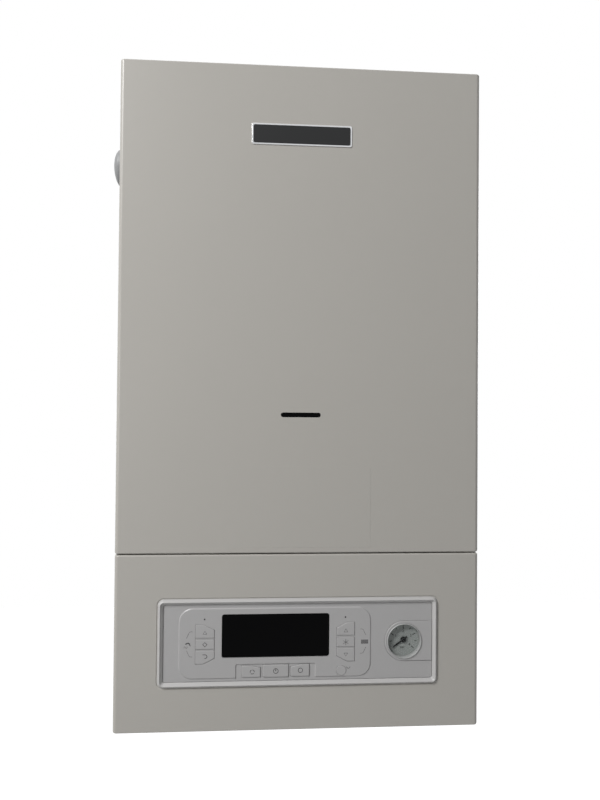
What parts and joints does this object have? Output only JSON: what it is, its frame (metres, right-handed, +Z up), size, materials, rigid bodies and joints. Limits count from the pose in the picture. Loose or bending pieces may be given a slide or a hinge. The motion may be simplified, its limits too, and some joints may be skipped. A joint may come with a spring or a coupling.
{
  "type": "combi boiler",
  "caption": "Wall-hung gas combi boiler in a painted steel casing, with a lift-off door, a tilting control panel with keys and a pressure gauge, and its heating core inside.",
  "frame": {"origin": "centre of the wall rail's rear face, on the wall", "axes": "+Y into the wall, so the front faces -Y; +X right as seen from the front; +Z up"},
  "size_m": [0.414, 0.323, 0.8],
  "materials": {
    "white_paint": "satin powder coat",
    "pale_plastic": "fine matt moulding",
    "grey_plastic": "matt",
    "black_plastic": "satin",
    "red_plastic": "satin",
    "black_glass": "gloss",
    "clear_glass": "clear",
    "gauge_ring": "gloss",
    "dial": "matt",
    "zinc": "galvanised",
    "steel": "satin",
    "aluminium": "cast",
    "copper": "bright",
    "brass": "forged",
    "dark_iron": "painted casting",
    "red_paint": "satin",
    "ceramic": "unglazed",
    "board": "solder mask",
    "rubber": "soft"
  },
  "bodies": {
    "casing": {"wall_rail": "zinc", "back_frame": "zinc", "side_panel_left": "white_paint", "side_panel_right": "white_paint", "top_panel": "white_paint", "side_cap": "grey_plastic", "flue_collar": "black_plastic", "hinge_pin_left": "steel", "hinge_pin_right": "steel", "air_box": "zinc", "door_seal": "rubber", "combustion_chamber": "steel", "heat_exchanger": "copper", "burner": "steel", "gas_manifold": "aluminium", "electrode_block": "ceramic", "flue_hood": "zinc", "fan_housing": "steel", "fan_motor": "dark_iron", "pressure_switch": "pale_plastic", "expansion_vessel": "red_paint", "diverter_block": "brass", "return_block": "brass", "diverter_motor": "black_plastic", "plate_exchanger": "steel", "pump_body": "dark_iron", "pump_motor": "aluminium", "air_vent": "black_plastic", "gas_valve": "aluminium", "gas_pipe": "copper", "flow_pipe": "copper", "return_pipe": "copper"},
    "door": {"front_door": "white_paint", "door_liner": "zinc", "sight_window": "black_glass"},
    "control_panel": {"fascia_panel": "white_paint", "control_bezel": "pale_plastic", "keypad_plate": "pale_plastic", "display_window": "black_glass", "control_box": "grey_plastic", "control_board": "board", "gauge_holder": "pale_plastic", "gauge_case": "gauge_ring", "gauge_dial": "dial", "gauge_glass": "clear_glass"},
    "gauge_needle": {"gauge_needle": "black_plastic"},
    "fan_impeller": {"fan_impeller": "aluminium"},
    "safety_valve_knob": {"safety_valve_knob": "red_plastic"},
    "filling_tap_knob": {"filling_tap_knob": "black_plastic"},
    "round_button": {"round_button": "pale_plastic"},
    "key_left_up": {"key_left_up": "pale_plastic"},
    "key_left_middle": {"key_left_middle": "pale_plastic"},
    "key_left_down": {"key_left_down": "pale_plastic"},
    "key_right_up": {"key_right_up": "pale_plastic"},
    "key_right_middle": {"key_right_middle": "pale_plastic"},
    "key_right_down": {"key_right_down": "pale_plastic"},
    "key_bottom_left": {"key_bottom_left": "pale_plastic"},
    "key_bottom_middle": {"key_bottom_middle": "pale_plastic"},
    "key_bottom_right": {"key_bottom_right": "pale_plastic"}
  },
  "joints": [
    {"name": "door_lift", "type": "slide", "parent": "casing", "child": "door", "axis": [0, 0, 1], "range_m": [0, 0.56]},
    {"name": "fascia_tilt", "type": "hinge", "parent": "casing", "child": "control_panel", "pos_m": [0, -0.304, -0.669], "axis": [1, 0, 0], "range_deg": [0, 90]},
    {"name": "gauge_needle_turn", "type": "hinge", "parent": "control_panel", "child": "gauge_needle", "pos_m": [0.1166, -0.3195, -0.5804], "axis": [0, 1, 0], "range_deg": [0, 255], "stiffness_Nm_per_rad": 0.0004, "springref_deg": -11.46},
    {"name": "fan_spin", "type": "hinge", "parent": "casing", "child": "fan_impeller", "pos_m": [-0.022, -0.156, -0.025], "axis": [0, 1, 0], "continuous": true},
    {"name": "safety_valve_turn", "type": "hinge", "parent": "casing", "child": "safety_valve_knob", "pos_m": [0.146, -0.14, -0.638], "axis": [0, -1, 0], "range_deg": [0, 90]},
    {"name": "filling_tap_turn", "type": "hinge", "parent": "casing", "child": "filling_tap_knob", "pos_m": [0.0975, -0.104, -0.687], "axis": [0, 0, -1], "range_deg": [0, 180]},
    {"name": "key_left_up_press", "type": "slide", "parent": "control_panel", "child": "key_left_up", "axis": [0, 1, 0], "range_m": [0, 0.001], "stiffness_N_per_m": 300, "springref_m": -0.0005},
    {"name": "key_left_middle_press", "type": "slide", "parent": "control_panel", "child": "key_left_middle", "axis": [0, 1, 0], "range_m": [0, 0.001], "stiffness_N_per_m": 300, "springref_m": -0.0005},
    {"name": "key_left_down_press", "type": "slide", "parent": "control_panel", "child": "key_left_down", "axis": [0, 1, 0], "range_m": [0, 0.001], "stiffness_N_per_m": 300, "springref_m": -0.0005},
    {"name": "key_right_up_press", "type": "slide", "parent": "control_panel", "child": "key_right_up", "axis": [0, 1, 0], "range_m": [0, 0.001], "stiffness_N_per_m": 300, "springref_m": -0.0005},
    {"name": "key_right_middle_press", "type": "slide", "parent": "control_panel", "child": "key_right_middle", "axis": [0, 1, 0], "range_m": [0, 0.001], "stiffness_N_per_m": 300, "springref_m": -0.0005},
    {"name": "key_right_down_press", "type": "slide", "parent": "control_panel", "child": "key_right_down", "axis": [0, 1, 0], "range_m": [0, 0.001], "stiffness_N_per_m": 300, "springref_m": -0.0005},
    {"name": "key_bottom_left_press", "type": "slide", "parent": "control_panel", "child": "key_bottom_left", "axis": [0, 1, 0], "range_m": [0, 0.001], "stiffness_N_per_m": 300, "springref_m": -0.0005},
    {"name": "key_bottom_middle_press", "type": "slide", "parent": "control_panel", "child": "key_bottom_middle", "axis": [0, 1, 0], "range_m": [0, 0.001], "stiffness_N_per_m": 300, "springref_m": -0.0005},
    {"name": "key_bottom_right_press", "type": "slide", "parent": "control_panel", "child": "key_bottom_right", "axis": [0, 1, 0], "range_m": [0, 0.001], "stiffness_N_per_m": 300, "springref_m": -0.0005},
    {"name": "round_button_press", "type": "slide", "parent": "control_panel", "child": "round_button", "axis": [0, 1, 0], "range_m": [0, 0.001], "stiffness_N_per_m": 300, "springref_m": -0.0005}
  ]
}
